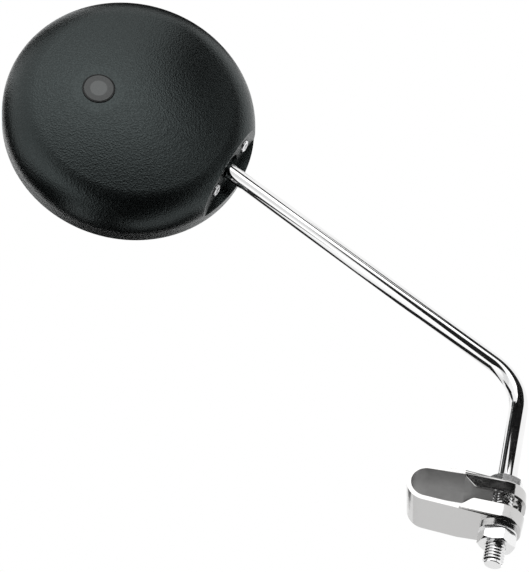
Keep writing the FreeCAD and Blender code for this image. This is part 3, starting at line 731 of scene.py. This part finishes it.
# Cards that only reflections see, in metres from the stem's corner
DARK_CARDS = {
    "card_low_front": upright_card(left=-0.32, right=0.67, low=-0.68, high=0.325, near=0.38),
    "card_under_rim": level_outline(0.00, [
        (-0.60, -0.18), (-0.06, -0.18), (-0.06, -0.06), (-0.27, -0.06), (-0.27, 0.10), (-0.60, 0.10)]),
    "card_under_head": level_outline(-0.20, [
        (-0.33, -0.50), (-0.18, -0.50), (-0.18, -0.02), (0.05, 0.10), (0.05, 0.38), (-0.33, 0.38)]),
    "card_right": side_card(right=0.268, low=0.20, high=1.30, far=-0.05, near=0.22),
    "card_left": side_card(right=-0.55, low=-0.10, high=0.30, far=-0.36, near=-0.05),
    "card_over_head": upright_card(left=-0.25, right=-0.06, low=0.22, high=0.55, near=-0.20),
    "card_over_stem": level_outline(0.231, [
        (-0.135, -0.085), (-0.030, 0.045), (0.232, 0.075), (0.232, 0.150), (-0.030, 0.105), (-0.135, 0.000)]),
    "card_high_left": level_outline(0.60, [
        (-0.24, -0.06), (-0.34, 0.04), (-0.62, -0.20), (-0.95, -0.70), (-0.80, -0.85), (-0.45, -0.33)]),
}
SOFTBOX = level_card(left=-0.30, right=0.08, up=0.45, far=0.13, near=0.42)

FLOOR_RADIUS = 6.0
KEY_LIGHT_PLACE = HEAD_CENTRE + Vector((-0.55, -0.95, 0.35))


def make_floor(drop):
    """A plain pale floor well under the mirror."""
    bm = bmesh.new()
    bmesh.ops.create_circle(bm, cap_ends=True, radius=FLOOR_RADIUS, segments=96)
    bmesh.ops.translate(bm, verts=bm.verts, vec=(0, 0, -drop))
    mesh = bpy.data.meshes.new("floor")
    bm.to_mesh(mesh)
    bm.free()
    material, tree, shader = new_material("pale floor", (0.86, 0.86, 0.86), 0.8)
    weave = noise(tree, object_coordinates(tree), 0.4, 2.0)
    pale = blend_colours(tree, weave, (0.85, 0.85, 0.85), (0.87, 0.87, 0.87))
    tree.links.new(pale, shader.inputs["Base Color"])
    mesh.materials.append(material)
    floor = bpy.data.objects.new("floor", mesh)
    bpy.context.scene.collection.objects.link(floor)


def make_world(ambient):
    """White where the camera, gloss and glass see it, softer where it lights the surfaces."""
    world = bpy.data.worlds.new("studio")
    bpy.context.scene.world = world
    world.use_nodes = True
    tree = world.node_tree
    soft = tree.nodes["Background"]
    soft.inputs["Color"].default_value = (ambient, ambient, ambient, 1)
    white = tree.nodes.new("ShaderNodeBackground")
    white.inputs["Color"].default_value = (1, 1, 1, 1)
    path = tree.nodes.new("ShaderNodeLightPath")
    seen = math_node(tree, "MAXIMUM", path.outputs["Is Camera Ray"], path.outputs["Is Glossy Ray"])
    seen = math_node(tree, "MAXIMUM", seen, path.outputs["Is Transmission Ray"])
    mix = tree.nodes.new("ShaderNodeMixShader")
    tree.links.new(seen, mix.inputs["Fac"])
    tree.links.new(soft.outputs["Background"], mix.inputs[1])
    tree.links.new(white.outputs["Background"], mix.inputs[2])
    tree.links.new(mix.outputs["Shader"], tree.nodes["World Output"].inputs["Surface"])


def make_key_light(power):
    """A large soft lamp from the upper left, in front of the head."""
    light = bpy.data.lights.new("key light", "AREA")
    light.energy = power
    light.shape = "RECTANGLE"
    light.size = 0.9
    light.size_y = 0.7
    lamp = bpy.data.objects.new("key light", light)
    bpy.context.scene.collection.objects.link(lamp)
    lamp.location = KEY_LIGHT_PLACE
    lamp.rotation_mode = "QUATERNION"
    lamp.rotation_quaternion = (HEAD_CENTRE - KEY_LIGHT_PLACE).to_track_quat("-Z", "Y")
    lamp.visible_glossy = False


def make_camera():
    """The camera in front of the clamp and below it, looking up at the mirror."""
    data = bpy.data.cameras.new("camera")
    data.sensor_fit = "HORIZONTAL"
    data.sensor_width = SENSOR_WIDTH
    data.lens = SENSOR_WIDTH * FOCAL_PIXELS / PHOTO_WIDTH
    data.clip_start = 0.01
    camera = bpy.data.objects.new("camera", data)
    bpy.context.scene.collection.objects.link(camera)
    camera.matrix_world = VIEW_FRAME
    bpy.context.scene.camera = camera


# Operators

class MIRROR_OT_head(bpy.types.Operator):
    """Give the moulded head its grained plastic"""

    bl_idname = "mirror_build.head"
    bl_label = "Head"

    def execute(self, context):
        dress_node("head_shell", grained_plastic(context.scene.mirror_build))
        return {"FINISHED"}


class MIRROR_OT_badge(bpy.types.Operator):
    """Set the plain badge into the head"""

    bl_idname = "mirror_build.badge"
    bl_label = "Badge"

    def execute(self, context):
        settings = context.scene.mirror_build
        make_badge_piece(settings, badge_plastic(settings))
        return {"FINISHED"}


class MIRROR_OT_glass(bpy.types.Operator):
    """Silver the glass and give its gasket a rubber finish"""

    bl_idname = "mirror_build.glass"
    bl_label = "Glass and gasket"

    def execute(self, context):
        dress_node("mirror_glass", mirror_silver())
        dress_node("glass_gasket", black_rubber())
        return {"FINISHED"}


class MIRROR_OT_ball_joint(bpy.types.Operator):
    """Finish the ball, its seat, the plate and the screws"""

    bl_idname = "mirror_build.ball_joint"
    bl_label = "Ball joint"

    def execute(self, context):
        dress_node("stem_ball", bright_plating(context.scene.mirror_build))
        nylon = seat_nylon()
        dress_node("seat_front_half", nylon)
        dress_node("seat_rear_half", nylon)
        steel = zinc_steel()
        dress_node("socket_plate", steel)
        make_screw_piece(context.scene.mirror_build, steel)
        return {"FINISHED"}


class MIRROR_OT_stem(bpy.types.Operator):
    """Build the plated stem and its thread"""

    bl_idname = "mirror_build.stem"
    bl_label = "Stem"

    def execute(self, context):
        settings = context.scene.mirror_build
        plating = bright_plating(settings)
        make_stem_piece(settings, plating)
        make_stem_thread(settings, plating)
        return {"FINISHED"}


class MIRROR_OT_fasteners(bpy.types.Operator):
    """Plate the nuts and washers"""

    bl_idname = "mirror_build.fasteners"
    bl_label = "Nuts and washers"

    def execute(self, context):
        plating = dull_plating(context.scene.mirror_build)
        for name in ("upper_nut", "upper_washer", "lower_nut", "lower_washer"):
            dress_node(name, plating)
        return {"FINISHED"}


class MIRROR_OT_clamp(bpy.types.Operator):
    """Build the strap clamp"""

    bl_idname = "mirror_build.clamp"
    bl_label = "Bar clamp"

    def execute(self, context):
        make_clamp_piece(satin_strap(context.scene.mirror_build))
        return {"FINISHED"}


class MIRROR_OT_stage(bpy.types.Operator):
    """Set up the floor, the light, the cards and the camera"""

    bl_idname = "mirror_build.stage"
    bl_label = "Stage"

    def execute(self, context):
        stage = context.scene.mirror_build.stage
        context.scene.view_settings.view_transform = "Standard"
        make_world(stage.ambient)
        make_floor(stage.floor_drop)
        make_key_light(stage.key_power)
        dark = new_material("dark card", (0.002, 0.002, 0.002), 1.0)[0]
        for name, corners in DARK_CARDS.items():
            add_card(name, corners, dark)
        add_card("softbox", SOFTBOX, glowing_card(stage.softbox))
        make_camera()
        return {"FINISHED"}


class MIRROR_PT_sidebar(bpy.types.Panel):
    """Lists the mirror's pieces and settings"""

    bl_idname = "MIRROR_PT_sidebar"
    bl_label = "Clamp-on Mirror"
    bl_space_type = "VIEW_3D"
    bl_region_type = "UI"
    bl_category = "Mirror"

    def draw(self, context):
        settings = context.scene.mirror_build
        for group in (settings.sizes, settings.finishes, settings.stage):
            box = self.layout.box()
            for name in group.bl_rna.properties.keys():
                if name not in ("rna_type", "name"):
                    box.prop(group, name)
        for operator in OPERATORS:
            self.layout.operator(operator.bl_idname)


class MirrorSettings(bpy.types.PropertyGroup):
    """All settings of the mirror"""

    sizes: bpy.props.PointerProperty(type=MirrorSizes)
    finishes: bpy.props.PointerProperty(type=MirrorFinishes)
    stage: bpy.props.PointerProperty(type=MirrorStage)


OPERATORS = (
    MIRROR_OT_head,
    MIRROR_OT_badge,
    MIRROR_OT_glass,
    MIRROR_OT_ball_joint,
    MIRROR_OT_stem,
    MIRROR_OT_fasteners,
    MIRROR_OT_clamp,
    MIRROR_OT_stage,
)
CLASSES = (MirrorSizes, MirrorFinishes, MirrorStage, MirrorSettings, *OPERATORS, MIRROR_PT_sidebar)


def register():
    for item in CLASSES:
        bpy.utils.register_class(item)
    bpy.types.Scene.mirror_build = bpy.props.PointerProperty(type=MirrorSettings)


def unregister():
    del bpy.types.Scene.mirror_build
    for item in reversed(CLASSES):
        bpy.utils.unregister_class(item)


def main():
    register()
    bpy.ops.mirror_build.head()
    bpy.ops.mirror_build.badge()
    bpy.ops.mirror_build.glass()
    bpy.ops.mirror_build.ball_joint()
    bpy.ops.mirror_build.stem()
    bpy.ops.mirror_build.fasteners()
    bpy.ops.mirror_build.clamp()
    bpy.ops.mirror_build.stage()


if __name__ == "__main__":
    main()
